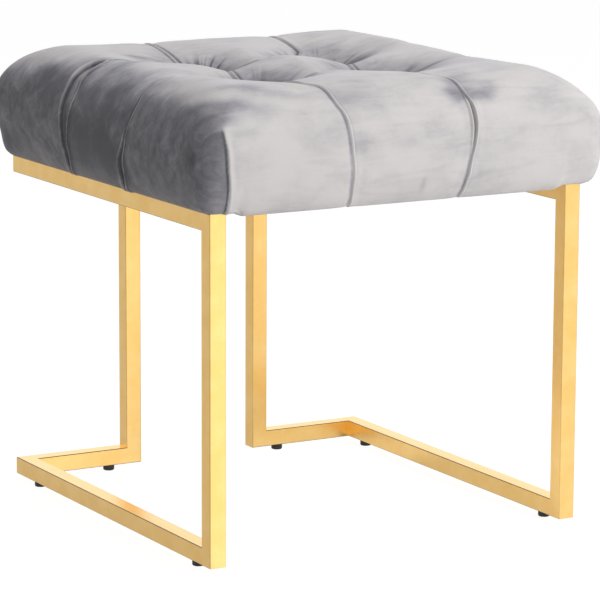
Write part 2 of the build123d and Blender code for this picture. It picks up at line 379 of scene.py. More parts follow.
def plywoodFinish():
    # Raw plywood face: long grain along Y with darker pores
    paint = Paint("plywood")
    grain = paint.noise(paint.place((70, 2.4, 70)), 1.0, 5.0, 0.6, 0.8)
    pores = paint.noise(paint.place((900, 22, 900)), 1.0, 2.0)
    wood = paint.blend(grain.between(0.3, 0.7), (0.44, 0.27, 0.13), (0.66, 0.47, 0.27))
    return paint.finish(
        Base_Color=paint.blend(pores.between(0.58, 0.75), wood, (0.30, 0.17, 0.08)),
        Roughness=0.7 + 0.2 * grain,
        Normal=paint.bump(pores + grain, 0.0004, 0.4),
    )


def dustClothFinish():
    # Black non-woven cloth with a grid of pressed dots
    paint = Paint("dustCloth")
    values = {"Vector": paint.place(), "Scale": 420.0}
    dots = paint.node("ShaderNodeTexVoronoi", None, values, output="Distance")
    fluff = paint.noise(paint.place(), 900.0, 3.0, 0.7)
    press = dots.between(0.15, 0.45)
    return paint.finish(
        Base_Color=paint.blend(press * fluff, (0.010, 0.010, 0.011), (0.045, 0.045, 0.047)),
        Roughness=0.8 + 0.15 * fluff,
        Normal=paint.bump(press + 0.4 * fluff, 0.0003, 0.6),
    )


def twineFinish():
    # Waxed twine with a slanting lay
    paint = Paint("twine")
    values = {"Vector": paint.place((1, 1, 1), (0.6, 0.4, 0)), "Scale": 160.0}
    lay = paint.node("ShaderNodeTexWave", None, values)
    return paint.finish(
        Base_Color=paint.blend(lay, (0.50, 0.41, 0.26), (0.72, 0.64, 0.47)),
        Roughness=0.7 + 0.1 * lay,
        Normal=paint.bump(lay, 0.0004, 0.6),
    )


gold = {axis: goldFinish(axis) for axis in "XYZ"}
velvet = velvetFinish("velvet", True)
buttonVelvet = velvetFinish("buttonVelvet", False)
zinc = zincFinish()
dustCloth = dustClothFinish()
finishes = {
    "foot_plastic": plasticFinish(),
    "plywood": plywoodFinish(),
    "twine": twineFinish(),
    "zinc_steel": zinc,
}
slots = {row["node"]: row["material_slot"] for row in frame["record"]["subparts"]}


def nodeFinish(name):
    # By material slot; a tube takes the gold whose polishing lines run along it
    if slots[name] == "gold_tube":
        return gold["Z" if "leg" in name else "X" if "rear" in name else "Y"]
    return finishes.get(slots[name])


for nodeName, node in frame["nodes"].items():
    if node.type == "MESH" and nodeFinish(nodeName):
        node.data.materials.clear()
        node.data.materials.append(nodeFinish(nodeName))
print("finishes set")


# Seat cover
cover = {
    "crownReach": 0.080,  # how far the rolled edge reaches in
    "swellHeight": 0.057,  # from the rails up to the widest ring
    "fullness": 2.3,  # 2 tucks in like an ellipse, more is boxier
    "rearTuck": 0.005,  # less swell low down at the rear left
    "cornerRadius": 0.027,  # at the swell
    "railCorner": 0.009,  # where the cloth meets the rails
    "cornerStart": 0.045,  # cloth length in which the corners round off
    "hemWidth": 0.030,  # turned in under the board
    # Fuller places: cloth coordinates, reach and height
    "bulges": (
        ((-0.235, 0.250), 0.060, 0.0045),
        ((0.185, 0.085), 0.060, 0.0030),
        ((0.140, 0.160), 0.050, 0.0022),
        ((0.265, -0.275), 0.030, 0.0030),
        ((-0.115, -0.165), 0.048, -0.0032),
        ((-0.125, 0.010), 0.050, 0.0020),
        ((0.000, 0.000), 0.055, 0.0025),
    ),
    "droop": 0.004,  # how far the front edge hangs below the rails
    "topStep": 0.0034,  # grid on the top
    "sideStep": 0.0022,  # grid on the sides
    "fineStep": 0.0007,  # grid across a pleat
    "fineBand": 0.024,  # how far from a pleat the lines are close
    "simStep": 0.0052,  # grid of the simulation
    "quarterPoints": 90,  # on each quarter of the side's profile
    "seed": 41,
}
pleat = {
    # Depth of the valley at: the seat's middle, a tuft, the top edge, the swell and the rail
    "depths": (0.009, 0.020, 0.0028, 0.0020, 0.0008),
    "widths": (0.046, 0.024),  # from the crease to the full pillow, on the top and on the sides
    "lap": 0.0012,  # step down from the folded edge
    "lapReach": 0.012,
    "bead": 0.0011,  # roll along the folded edge
    "groove": 0.0008,
    "grooveWidth": 0.0012,
    "tuck": 0.0018,  # between the two folds of a double pleat
    "band": 0.0016,  # half the width of a fold that leans to neither side
    "nearness": 0.020,  # for weighing the stations along a pleat
    "pushReach": 0.040,  # the cloth beside a pleat drifts with it
}
# Each pleat past its tufts: millimetres that it drifts sideways and half the gap between its two folds, at
# the edge of the flat top and at the heights below; a single fold leans to one side, or to neither as a band
pleatHeights = (0.490, 0.461, 0.434, 0.405, 0.377)
pleatEnds = {
    ("left", -1): {"drift": (-22, -3, 4, 4, 6, 8), "gap": (0, 0, 0, 0, 0, 0), "lean": -1},
    ("right", -1): {"drift": (-18, 4, 5, 1, -5, -8), "gap": (0, 0.6, 2.4, 1.4, 0, 0), "lean": -1},
    ("front", -1): {"drift": (-8, -18, -24, -22, -13, 2), "gap": (0, 0, 0, 2.5, 6, 3), "lean": 1},
    ("rear", -1): {"drift": (8, 4, -8, -11, -10, 2), "gap": (0, 12, 13, 9, 5, 3), "lean": 1},
    ("left", 1): {"drift": (0, 3, 5, 2, 0, -2), "gap": (0, 0, 0, 0, 0, 0), "lean": 0},
    ("right", 1): {"drift": (10, 8, 0, -3, 2, 5), "gap": (0, 0, 0, 0, 2, 3), "lean": -1},
    ("front", 1): {"drift": (2, 8, 10, 12, 6, -3), "gap": (0, 0, 2, 3, 3, 2), "lean": 1},
    ("rear", 1): {"drift": (0, -6, -9, -8, -4, 2), "gap": (0, 0, 2, 3, 1, 0), "lean": 0},
}
cornerFold = {
    "heights": (0.374, 0.393, 0.425, 0.453),
    "left": (0.210, 0.212, 0.216, 0.217),  # where the slit runs on the front and rear faces
    "right": (0.232, 0.236, 0.241, 0.242),
    "slit": 0.0016,
    "slitWidth": 0.0012,
    "lap": 0.0008,  # how far the front cloth stands proud
    "bead": 0.0009,
    "top": (0.440, 0.466),  # the heights in which it dies out
    # Heights in which the painted shade round the corner turns soft at its edge, in which it ends, and in
    # which the slit's painted highlight and shadow lines end
    "softTone": (0.456, 0.482),
    "darkTone": (0.470, 0.500),
    "lineTone": (0.454, 0.470),
    "softness": 0.018,
}

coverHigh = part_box("seat_cover")[1]
frameX = -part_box("left_seat_rail")[0].x
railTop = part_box("left_seat_rail")[1].z
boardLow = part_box("seat_board")[0].z
flatX = coverHigh.x - cover["crownReach"]
flatY = coverHigh.y - cover["crownReach"]
swell = coverHigh.x - frameX
swellLevel = railTop + cover["swellHeight"]


def makeProfile():
    # The pad's side from the flat top down: a quarter ellipse over the edge, a boxier quarter in under the
    # swell to the rail, then level along the hem. Gives cloth length, reach outwards and height.
    turn = np.linspace(0, np.pi / 2, cover["quarterPoints"])
    power = 2 / cover["fullness"]
    reach, drop = 1 - np.cos(turn) ** power, np.sin(turn) ** power
    out = [cover["crownReach"] * np.sin(turn), cover["crownReach"] - swell * reach]
    up = [swellLevel + (coverHigh.z - swellLevel) * np.cos(turn), swellLevel - cover["swellHeight"] * drop]
    hemReach = 1.5 * cover["hemWidth"]
    out = np.concatenate([out[0], out[1][1:], [cover["crownReach"] - swell - hemReach]])
    up = np.concatenate([up[0], up[1][1:], [railTop]])
    length = np.concatenate([[0], np.cumsum(np.hypot(np.diff(out), np.diff(up)))])
    return length, out, up


profileLength, profileOut, profileUp = makeProfile()
swellLength = profileLength[cover["quarterPoints"] - 1]
railLength = profileLength[-2]
clothX = flatX + railLength + cover["hemWidth"]
clothY = flatY + railLength + cover["hemWidth"]
pleatStations = np.interp([-z for z in pleatHeights], -profileUp[:-1], profileLength[:-1])


def onPad(a, b):
    # A square cloth laid over the pad: a and b are cloth lengths from the middle. Past the flat top the
    # further one runs down the side profile, and the other goes round a ring with rounded corners.
    pastA = np.abs(a) - flatX
    pastB = np.abs(b) - flatY
    past = np.maximum(pastA, pastB)
    rearLeft = ease(0.87 * b - 0.5 * a, 0.12, 0.32)
    lean = cover["rearTuck"] * bell(past - 0.5 * (swellLength + railLength), 0.028) * rearLeft
    out = np.where(past > 0, np.interp(past, profileLength, profileOut) - lean, past)
    up = np.where(past > 0, np.interp(past, profileLength, profileUp), coverHigh.z)
    narrow = (cover["cornerRadius"] - cover["railCorner"]) * ease(past, swellLength, railLength)
    radius = (cover["cornerRadius"] - narrow) * ease(past, 0, cover["cornerStart"]) + 1e-6
    onFront = pastB >= pastA

    def ring(along, flat):
        # Distance along a side: as laid near the middle, squeezed towards the corner
        kept = flat - cover["cornerStart"]
        squeeze = (flat + out - kept) / np.maximum(flat + past - kept, 1e-6)
        side = np.abs(along)
        return np.where((past > 0) & (side > kept), kept + (side - kept) * squeeze, side)

    sideX = np.where(onFront, ring(a, flatX), flatX + out)
    sideY = np.where(onFront, flatY + out, ring(b, flatY))
    half = np.where(onFront, flatX, flatY) + out
    along = np.where(onFront, sideX, sideY)
    arc = np.clip((along - (half - radius)) / radius, 0, 1) * np.pi / 4
    turned = np.where(along > half - radius, half - radius + radius * np.sin(arc), along)
    drawnIn = np.where(along > half - radius, radius * (1 - np.cos(arc)), 0)
    inRing = past > 0
    x = np.where(inRing & onFront, turned, np.where(inRing, sideX - drawnIn, np.abs(a)))
    y = np.where(inRing & ~onFront, turned, np.where(inRing, sideY - drawnIn, np.abs(b)))
    hang = cover["droop"] * ease(past, swellLength, railLength) * ease(-b, flatY, flatY + railLength)
    up = up - hang * ease(frameX - 0.024 - x, 0, 0.014)  # between the legs
    hemStart, hemEnd = railLength + 0.6 * cover["hemWidth"], railLength + cover["hemWidth"]
    up = up + (boardLow - railTop) * ease(past, hemStart, hemEnd)
    return np.stack([np.sign(a) * x, np.sign(b) * y, up], axis=-1)


def outward(points):
    # Unit normals of a grid from its two slopes
    normal = np.cross(np.gradient(points, axis=0), np.gradient(points, axis=1))
    return normal / np.maximum(np.linalg.norm(normal, axis=-1, keepdims=True), 1e-12)


def pleatLines(a, b):
    # Each pleat as: its name, distances across it and along it from the middle, and how far along it its
    # tufts and the flat top's edges are
    yield "left", a + tuftX, b, tuftY, flatY
    yield "right", a - tuftX, b, tuftY, flatY
    yield "front", b + tuftY, a, tuftX, flatX
    yield "rear", b - tuftY, a, tuftX, flatX


def alongPleat(name, what, along, tuftAt, flat):
    # A pleat's drift or gap at each place along it: the amounts at its stations, weighed by nearness
    total = np.zeros_like(along)
    stations = np.array([tuftAt - flat, 0, *pleatStations])
    for end in (-1, 1):
        amounts = np.array([0, *pleatEnds[name, end][what]]) / 1000
        place = np.clip(end * along - flat, stations[0], stations[-1])
        weights = bell(place[..., None] - stations, pleat["nearness"]) + 1e-9
        here = (weights * amounts).sum(-1) / weights.sum(-1)
        total += np.where(end * along > tuftAt, here, 0)
    return total


def drifted(a, b):
    # The cloth's grid pushed sideways so that its close lines follow the pleats
    shiftA, shiftB = np.zeros_like(a), np.zeros_like(b)
    for name, across, along, tuftAt, flat in pleatLines(a, b):
        push = alongPleat(name, "drift", along, tuftAt, flat) * bell(across, pleat["pushReach"])
        if name in ("left", "right"):
            shiftA += push
        else:
            shiftB += push
    return a + shiftA, b + shiftB


def pullDepth(a, b):
    # How far the cloth is drawn in: tufts like funnels, joined by creased valleys, less the fuller places
    valley = np.zeros_like(a)
    for name, across, along, tuftAt, flat in pleatLines(a, b):
        middle, tuftDepth, edge, side, rail = pleat["depths"]
        stations = (0, tuftAt, flat + 0.02, flat + swellLength, flat + railLength)
        depth = np.interp(np.abs(along), stations, (middle, tuftDepth, edge, side, rail))
        share = np.clip((np.abs(along) - tuftAt) / (flat + 0.02 - tuftAt), 0, 1)
        depth = np.minimum(depth, edge + (tuftDepth - edge) * (1 - share) ** 2)
        width = np.interp(np.abs(along) - flat, (-0.02, 0.05), pleat["widths"])
        width = width + alongPleat(name, "gap", along, tuftAt, flat)
        rise = np.clip(1 - np.abs(across) / width, 0, 1)
        valley = np.maximum(valley, depth * rise ** 2.2)
    funnel = np.zeros_like(a)
    for x, y in tuftPoints:
        r = np.hypot(a - x, b - y)
        reach = np.maximum(r - tuft["buttonRadius"], 0) / tuft["spread"]
        funnel = np.maximum(funnel, np.exp(-(reach ** 1.25)))
    depth = tuft["depth"] * funnel + valley * (1 - funnel)
    for (x, y), reach, height in cover["bulges"]:
        depth -= height * bell(np.hypot(a - x, b - y), reach)
    return depth


def clothLines(half, crease, flat):
    # Grid lines from edge to edge of the cloth, closer down the sides and closest across the two pleats
    lines = [0.0]
    while lines[-1] < half:
        place = lines[-1]
        step = cover["topStep"] + (cover["sideStep"] - cover["topStep"]) * ease(place, flat, flat + 0.04)
        nearness = 1 - ease(abs(place - crease), 0.25 * cover["fineBand"], cover["fineBand"])
        lines.append(place + step + (cover["fineStep"] - step) * nearness)
    right = np.array(lines) * half / lines[-1]
    right += (crease - right[np.argmin(np.abs(right - crease))]) * bell(right - crease, 0.03)
    return np.concatenate([-right[:0:-1], right])


def cubicWeights(lines, known):
    # Rows of weights that read evenly spaced values at other lines, by cubic convolution
    t = np.abs(lines[:, None] - known[None, :]) / (known[1] - known[0])
    near = 1.5 * t ** 3 - 2.5 * t ** 2 + 1
    far = -0.5 * t ** 3 + 2.5 * t ** 2 - 4 * t + 2
    weights = np.where(t < 1, near, np.where(t < 2, far, 0))
    return weights / weights.sum(1, keepdims=True)


def evenLines(half, crease):
    # Evenly spaced lines over the cloth, one of them on the crease
    step = crease / round(crease / cover["simStep"])
    count = math.floor(half / step)
    return step * np.arange(-count, count + 1)


clothSim = {
    "frames": 20,
    "cap": 0.010,  # the furthest that a point may move
    "heldHem": 0.004,  # above the rail
    "heldPleat": 0.001,
    "heldPast": 0.075,  # past the flat top, where the pleats' stitches end
    "heldTuft": 1.3,  # button radii
    "solver": {
        "quality": 6,
        "mass": 0.3,
        "tension_stiffness": 15,
        "compression_stiffness": 15,
        "shear_stiffness": 5,
        "bending_stiffness": 0.3,
        "use_pressure": True,
        "uniform_pressure_force": 4.0,
        "vertex_group_mass": "held",
    },
}


def relaxCloth(a, b, points):
    # Blender's cloth, blown up from inside and held at the hem, the tufts and the pleats. Gives how each
    # point moved, up to the cap.
    trial = addMesh("clothTrial", points, gridFaces(*a.shape))
    past = np.maximum(np.abs(a) - flatX, np.abs(b) - flatY)
    held = past > railLength - clothSim["heldHem"]
    for name, across, along, tuftAt, flat in pleatLines(a, b):
        stitched = np.abs(along) < flat + clothSim["heldPast"]
        held |= (np.abs(across) < clothSim["heldPleat"]) & stitched
    for x, y in tuftPoints:
        held |= np.hypot(a - x, b - y) < clothSim["heldTuft"] * tuft["buttonRadius"]
    pins = trial.vertex_groups.new(name="held")
    pins.add(np.flatnonzero(held).tolist(), 1.0, "REPLACE")
    cloth = trial.modifiers.new("cloth", "CLOTH")
    for key, value in clothSim["solver"].items():
        setattr(cloth.settings, key, value)
    cloth.settings.effector_weights.gravity = 0
    cloth.collision_settings.use_collision = False
    cloth.point_cache.frame_start = 1
    cloth.point_cache.frame_end = clothSim["frames"]
    for frameNumber in range(1, clothSim["frames"] + 1):
        scene.frame_set(frameNumber)
    settled = trial.evaluated_get(bpy.context.evaluated_depsgraph_get()).to_mesh()
    moved = np.empty(len(settled.vertices) * 3)
    settled.vertices.foreach_get("co", moved)
    moved = moved.reshape(points.shape) - points
    bpy.data.objects.remove(trial)
    scene.frame_set(1)
    size = np.linalg.norm(moved, axis=-1, keepdims=True)
    most, mean = (round(float(value) * 1000, 1) for value in (size.max(), size.mean()))
    print("cloth moved", most, "mm at most,", mean, "on average")
    return moved * np.minimum(1, clothSim["cap"] / np.maximum(size, 1e-9))


def foldShift(along):
    # A fold wanders from its line as a slow sine
    return 0.0012 * np.sin(along / 0.07 + 1.3)


def pastTuft(along, tuftAt):
    # 0 between the tufts, 1 from a little past them, smooth on the way
    return ease(np.abs(along), tuftAt + 0.006, tuftAt + 0.024)


def foldPlace(name, across, along, tuftAt, flat):
    # Distance past a pleat's folded edge, below 0 on the upper cloth: as a single fold, as a double one with
    # an edge on each side of its gap, and how far it is double
    gap = alongPleat(name, "gap", along, tuftAt, flat)
    double = ease(gap, 0.0004, 0.0022)
    lean = np.where(along < 0, pleatEnds[name, -1]["lean"], pleatEnds[name, 1]["lean"])
    off = across - foldShift(along)
    single = np.where(lean == 0, np.abs(off) - pleat["band"], lean * off)
    return single, gap - np.abs(off), double


def foldShow(name, along, tuftAt, flat):
    # How much of a pleat's fold shows, from past its tuft to the hem; the front one's left end starts over
    # the edge, and the rear one's right end is faint up to it
    show = pastTuft(along, tuftAt) * ease(flat + railLength - np.abs(along), -0.004, 0.012)
    if name == "front":
        show = show * np.where(along < 0, ease(-along - flat, -0.01, 0.045), 1)
    if name == "rear":
        show = show * np.where(along > 0, 0.35 + 0.65 * ease(along - flat, -0.01, 0.045), 1)
    return show


def lapFold(s):
    # A folded edge across s: a slow rise to the edge, a sharp step down, and a groove beside it
    rise = ease(s, -pleat["lapReach"], -0.0012) * (1 - ease(s, -0.0007, 0.0008))
    bead = pleat["bead"] * bell(s + 0.0014, 0.0012)
    return pleat["lap"] * rise + bead - pleat["groove"] * bell(s - 0.0014, pleat["grooveWidth"])


def coverFolds(a, b, laid, rng):
    # Fine relief: gathers round the tufts, creases between them, folded edges past them, and corner slits
    relief = np.zeros_like(a)
    away = np.ones_like(a)
    for x, y in tuftPoints:
        r = np.hypot(a - x, b - y)
        angle = np.arctan2(b - y, a - x)
        ring = bell(r - tuft["gatherReach"], 0.6 * tuft["gatherReach"])
        for count in tuft["gathers"]:
            turn = rng.uniform(0, 2 * np.pi)
            share = rng.uniform(0.4, 0.8)
            fold = 1 - 2 * np.abs(np.sin((count * angle + turn) / 2)) ** 0.7
            relief += share * tuft["gather"] * ring * fold
        away *= ease(r, tuft["buttonRadius"], 2.6 * tuft["buttonRadius"])
    for name, across, along, tuftAt, flat in pleatLines(a, b):
        shift = foldShift(along)
        inner = 1 - pastTuft(along, tuftAt)
        sway = 0.75 + 0.25 * np.cos(along / 0.034 + rng.uniform(0, 6))
        ends = foldShow(name, along, tuftAt, flat) * sway
        past, inGap, double = foldPlace(name, across, along, tuftAt, flat)
        single = lapFold(past)
        pair = 1.5 * lapFold(inGap) + 0.8 * pleat["bead"] * bell(inGap + 0.0016, 0.0014)
        pair -= pleat["tuck"] * ease(inGap, -0.001, 0.003)
        relief += away * ends * (single + (pair - single) * double)
        crease = pleat["lap"] * bell(across - shift, 0.0016)
        crease -= 1.5 * pleat["groove"] * bell(np.abs(across - shift) - 0.0034, 0.0014)
        relief += away * inner * crease
    height = laid[..., 2]
    onFront = np.abs(b) - flatY >= np.abs(a) - flatX
    left, right = (np.interp(height, cornerFold["heights"], cornerFold[side]) for side in ("left", "right"))
    s = np.abs(laid[..., 0]) - np.where(a < 0, left, right)
    below = onFront * (1 - ease(height, *cornerFold["top"]))
    below = below * ease(flatY + railLength - np.abs(b), -0.006, 0.004)
    lap = cornerFold["lap"] * ease(s, -0.022, -0.003) * (1 - ease(s, -0.0010, 0.0008))
    bead = cornerFold["bead"] * bell(s + 0.0019, 0.0013)
    return relief + below * (lap + bead - cornerFold["slit"] * bell(s - 0.0012, cornerFold["slitWidth"]))


# How light the pile is painted: partly the way it lies, partly painted shade and highlights
pileAndShade = {
    "towardLight": (0.66, -0.55, 0.42),  # towards the key light: faces turned this way are lighter, those turned away painted darker as shade
    "rearwards": 0.45,  # per metre: the painted shade of the dark side reaches higher towards the rear
    "turns": (-0.42, 0.10),  # how far the cloth faces that way where it goes from dark to light
    "levels": (0.25, 0.85),
    "drawnIn": 20.0,  # painted shade in the hollows: darker per metre that the cloth is pulled down
    "foldHighlight": 0.40,  # painted highlight along a folded edge
    "foldShade": 0.36,  # painted shadow under it
    # Patches, partly brushed pile and partly painted shade and light: place, reach along X, Y and Z, and how
    # much darker or lighter
    "patches": (
        ((-0.052, -0.232, 0.487), (0.032, 0.030, 0.010), -0.25),
        ((0.087, -0.230, 0.486), (0.027, 0.026, 0.015), -0.50),
        ((-0.005, -0.258, 0.438), (0.045, 0.030, 0.010), -0.13),
        ((-0.172, -0.222, 0.491), (0.048, 0.034, 0.020), -0.36),
        ((-0.208, -0.238, 0.476), (0.022, 0.030, 0.018), -0.42),
        ((-0.221, 0.115, 0.484), (0.030, 0.055, 0.016), -0.25),
        ((-0.238, -0.255, 0.445), (0.030, 0.030, 0.050), -0.18),
        ((-0.189, 0.060, 0.501), (0.040, 0.050, 0.030), -0.15),
        ((-0.150, -0.256, 0.400), (0.050, 0.030, 0.030), 0.14),
        ((-0.205, -0.020, 0.487), (0.035, 0.090, 0.020), -0.36),
        ((-0.195, -0.180, 0.496), (0.030, 0.040, 0.010), 0.18),
        ((-0.222, 0.195, 0.486), (0.040, 0.050, 0.024), 0.10),
        ((-0.247, -0.010, 0.425), (0.080, 0.075, 0.060), -0.22),
        ((-0.247, -0.170, 0.415), (0.040, 0.060, 0.045), 0.18),
        ((-0.225, 0.220, 0.430), (0.040, 0.040, 0.040), 0.08),
        ((0.122, 0.104, 0.491), (0.017, 0.017, 0.016), -0.24),
        ((-0.050, -0.259, 0.434), (0.024, 0.030, 0.012), -0.20),
        ((-0.022, -0.042, 0.489), (0.036, 0.024, 0.020), -0.16),
        ((-0.130, 0.118, 0.495), (0.032, 0.0045, 0.020), -0.32),
        ((0.017, -0.256, 0.392), (0.0040, 0.020, 0.010), -0.25),
    ),
}


def edgeHighlightAndShadow(past):
    # Painted highlight and shadow across a folded edge: a highlight on it, shadow in a line behind it and on
    # the cloth beneath
    beneath = ease(past, 0, 0.0006) * (1 - ease(past, 0.0025, 0.0050))
    return np.stack([bell(past + 0.0014, 0.0015), beneath + 0.7 * bell(past + 0.0032, 0.0008)])


def foldHighlightsAndShadows(a, b):
    # Painted highlights and shadows along the folds past the tufts, and painted shade on each side of the
    # creases between them
    tones = np.zeros_like(a)
    for name, across, along, tuftAt, flat in pleatLines(a, b):
        past, inGap, double = foldPlace(name, across, along, tuftAt, flat)
        light, dark = edgeHighlightAndShadow(past) * (1 - double) + edgeHighlightAndShadow(inGap) * double
        light *= pileAndShade["foldHighlight"] * ease(np.abs(along), flat, flat + 0.03)
        tones += foldShow(name, along, tuftAt, flat) * (light - pileAndShade["foldShade"] * dark)
        inner = 1 - pastTuft(along, tuftAt)
        tones -= inner * pileAndShade["foldShade"] * bell(np.abs(across - foldShift(along)) - 0.0032, 0.0012)
    return tones


def pileAndShadeLevels(a, b, depth, points, normal, rng):
    # How light the pile looks, 0 dark to 1 light: partly which way it lies, partly painted shade and
    # highlights. By the way the cloth faces, with painted shade on faces turned from the key light, in
    # hollows where it is drawn in and round the front left corner from its slit on;
    # painted highlights on folded edges; changed in patches, partly brushed and partly painted shade and
    # light
    dark, light = pileAndShade["levels"]
    height = points[..., 2]
    # Lighter on faces turned to the key light, painted shade on those turned away
    facing = normal @ np.array(pileAndShade["towardLight"]) + 0.06 * waves(points, 0.05, 14, rng)
    facing = facing - pileAndShade["rearwards"] * points[..., 1]
    shadedPile = dark + (light - dark) * ease(facing, *pileAndShade["turns"])
    shadedPile += 0.05 * waves(points, 0.11, 14, rng) + 0.04 * waves(points, 0.045, 14, rng)
    for place, reach, change in pileAndShade["patches"]:
        away = np.linalg.norm((points - np.array(place)) / np.array(reach), axis=-1)
        shadedPile += change * bell(away + 0.22 * waves(points, 0.04, 8, rng), 1)
    # Painted shade on the left face from the front left corner's slit on, a painted highlight on the slit's
    # folded edge and a painted shadow in the slit
    slit = -points[..., 0] - np.interp(height, cornerFold["heights"], cornerFold["left"])
    atFront = points[..., 1] < 0
    soft = cornerFold["softness"] * ease(height, *cornerFold["softTone"])
    corner = atFront * (1 - ease(height, *cornerFold["darkTone"]))
    shadedPile += corner * ease(slit, -0.0006 - soft, 0.0012 + soft) * np.minimum(dark - shadedPile, 0)
    edge = atFront * (1 - ease(height, *cornerFold["lineTone"]))
    shadedPile += edge * (0.3 * bell(slit + 0.004, 0.003) - 0.5 * bell(slit - 0.0012, 0.0014))
    # Painted highlights and shadows on the folds, and painted shade in the hollows where the cloth is drawn
    # in
    shadedPile += foldHighlightsAndShadows(a, b) - pileAndShade["drawnIn"] * np.clip(depth - 0.006, 0, 0.024)
    return np.clip(shadedPile, 0, 1)


def drawnCloth(a, b):
    # The cloth laid on the pad, how far it is drawn in, and where that takes it along its normals
    laid = onPad(*drifted(a, b))
    depth = pullDepth(a, b)
    return laid, depth, laid - depth[..., None] * outward(laid)


def makeCover():
    # The drawn cloth, moved as its simulation on a coarser even grid says, with its fine folds and its nap
    rng = np.random.default_rng(cover["seed"])
    linesA, linesB = clothLines(clothX, tuftX, flatX), clothLines(clothY, tuftY, flatY)
    a, b = np.meshgrid(linesA, linesB, indexing="ij")
    laid, depth, points = drawnCloth(a, b)
    knownA, knownB = evenLines(clothX, tuftX), evenLines(clothY, tuftY)
    simA, simB = np.meshgrid(knownA, knownB, indexing="ij")
    moved = relaxCloth(simA, simB, drawnCloth(simA, simB)[2])
    weights = (cubicWeights(linesA, knownA), cubicWeights(linesB, knownB))
    points += np.einsum("ip,jq,pqk->ijk", *weights, moved, optimize=True)
    normal = outward(points)
    points += coverFolds(a, b, laid, rng)[..., None] * normal
    piece = makePiece("velvetCover", points, gridFaces(*a.shape), velvet, "velvet")
    shadedPile = piece.data.attributes.new("pileAndShade", "FLOAT", "POINT")
    shadedPile.data.foreach_set("value", pileAndShadeLevels(a, b, depth, points, normal, rng).astype(np.float32).ravel())
    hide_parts("seat_cover", "foam_pad")
    print("velvet cover:", a.size, "points")


makeCover()


# Tuft buttons
button = {
    "rings": 22,
    "spokes": 48,
    "edge": 0.003,  # height of the rim
    "dome": 0.8,  # share of the rings above it
    "tuck": 0.12,
    "pucker": 0.02,
    "puckers": 14,
}


def makeButtons():
    # Covered domes: a quarter circle turned round, flattened to the button's height, on a rim that tucks in
    radius = tuft["buttonRadius"]
    share = np.linspace(0, 1, button["rings"])[:, None]
    turn = fullTurn(button["spokes"])
    dome = np.minimum(share / button["dome"], 1) * np.pi / 2
    rim = np.maximum(share - button["dome"], 0) / (1 - button["dome"])
    puckered = 1 + button["pucker"] * share ** 3 * np.cos(button["puckers"] * turn)
    reach = radius * np.sin(dome) * (1 - button["tuck"] * rim ** 2) * puckered
    crown = buttonHigh.z - buttonLow.z - button["edge"]
    height = buttonLow.z + button["edge"] * (1 - rim) + crown * np.cos(dome)
    one = turnedShape(reach, height, turn)
    faces = gridFaces(button["rings"], button["spokes"], True)
    grids = [one + (x, y, 0) for x, y in tuftPoints]
    piece = makePiece("tuftDomes", *manyOf(grids, faces), buttonVelvet, "velvet", weld=1e-6)
    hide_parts("tuft_buttons")


makeButtons()


# Dust cover and its staples
dustSheet = {"columns": 90, "corner": 0.012, "gap": 0.0003, "sag": 0.0022, "pull": 0.0005}
staple = {
    "spacing": 0.046,
    "inset": 0.007,
    "endGap": 0.020,  # at the corners
    "width": 0.010,
    "leg": 0.004,
    "bend": 0.001,
    "wire": (0.0007, 0.00045),
    "spokes": 8,
}
dustLow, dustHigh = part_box("dust_cover")


def dustHeight(x, y):
    # The cloth hangs a little between its edges, and each staple draws the edge up
    edgeX, edgeY = dustHigh.x - np.abs(x), dustHigh.y - np.abs(y)
    edge = np.minimum(edgeX, edgeY)
    run = np.where(edgeX < edgeY, y, x)
    between = 1 - np.cos(2 * np.pi * run / staple["spacing"])
    pull = dustSheet["pull"] * bell(edge - staple["inset"], 0.02) * between
    return dustHigh.z - dustSheet["gap"] - dustSheet["sag"] * ease(edge, 0.01, 0.13) - pull


def makeDustCover():
    # A square grid whose corner squares are pressed into quarter circles, faces down
    count = dustSheet["columns"]
    linesX = np.linspace(dustLow.x, dustHigh.x, count)
    linesY = np.linspace(dustLow.y, dustHigh.y, count)
    x, y = np.meshgrid(linesX, linesY, indexing="ij")
    pastX = np.maximum(np.abs(x) - (dustHigh.x - dustSheet["corner"]), 0)
    pastY = np.maximum(np.abs(y) - (dustHigh.y - dustSheet["corner"]), 0)
    press = 1 - np.maximum(pastX, pastY) / np.maximum(np.hypot(pastX, pastY), 1e-9)
    x, y = x - np.sign(x) * pastX * press, y - np.sign(y) * pastY * press
    points = np.stack([x, y, dustHeight(x, y)], axis=-1)
    piece = makePiece("dustSheet", points, gridFaces(count, count)[:, ::-1], dustCloth, "dust_cloth")
    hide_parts("dust_cover")


